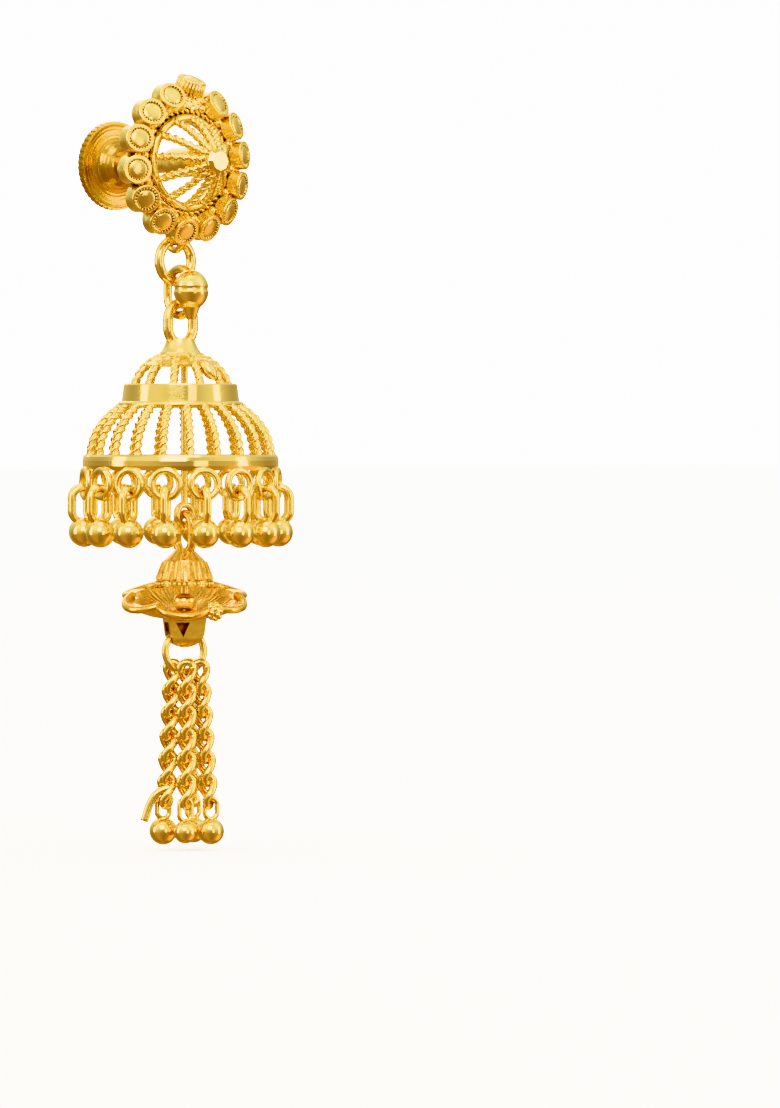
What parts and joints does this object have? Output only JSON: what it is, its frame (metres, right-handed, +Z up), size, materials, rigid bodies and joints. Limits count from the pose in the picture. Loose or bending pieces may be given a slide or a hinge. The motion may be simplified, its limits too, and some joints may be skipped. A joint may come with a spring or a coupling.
{
  "type": "jhumka earring",
  "caption": "Gold-tone jhumka earring: pierced flower stud with screw nut, domed wire cage with a ball fringe, and a bell and flower drop ending in a chain tassel.",
  "frame": {"origin": "centre of the gap the ear lobe fills, on the axis of the stud's post", "axes": "+Z up as it hangs, -Y the way the stud's flower faces, +Y along the post towards the screw nut"},
  "size_m": [0.0178, 0.0196, 0.0603],
  "materials": {
    "gold": "polished gold plating, with brushed and matt areas"
  },
  "bodies": {
    "stud": {"ear_stud": "gold"},
    "nut": {"screw_nut": "gold"},
    "ring": {"jump_ring": "gold"},
    "drop": {"ball_link": "gold", "jhumka_cage": "gold", "fringe_drop_01": "gold", "fringe_drop_02": "gold", "fringe_drop_03": "gold", "fringe_drop_04": "gold", "fringe_drop_05": "gold", "fringe_drop_06": "gold", "fringe_drop_07": "gold", "fringe_drop_08": "gold", "fringe_drop_09": "gold", "fringe_drop_10": "gold", "fringe_drop_11": "gold", "fringe_drop_12": "gold", "fringe_drop_13": "gold", "fringe_drop_14": "gold", "fringe_drop_15": "gold", "fringe_drop_16": "gold"},
    "lower_drop": {"bell_cap": "gold", "drop_bead": "gold", "flower_cup": "gold", "tassel_ring": "gold", "chain_1": "gold", "chain_2": "gold", "chain_3": "gold", "chain_4": "gold", "tassel_ball_1": "gold", "tassel_ball_2": "gold", "tassel_ball_3": "gold", "tassel_ball_4": "gold"}
  },
  "joints": [
    {"name": "nut_unscrew", "type": "slide", "parent": "stud", "child": "nut", "axis": [0, 1, 0], "range_m": [0, 0.0045]},
    {"name": "swing_fore_aft", "type": "hinge", "parent": "stud", "child": "ring", "pos_m": [0, -0.00255, -0.00602], "axis": [1, 0, 0], "range_deg": [-15, 40]},
    {"name": "swing_side", "type": "hinge", "parent": "ring", "child": "drop", "pos_m": [0, -0.00255, -0.00763], "axis": [0, 1, 0], "range_deg": [-30, 30]},
    {"name": "lower_drop_swing", "type": "hinge", "parent": "drop", "child": "lower_drop", "pos_m": [0.00063, -0.00289, -0.02821], "axis": [1, 0, 0], "range_deg": [-15, 15]}
  ]
}
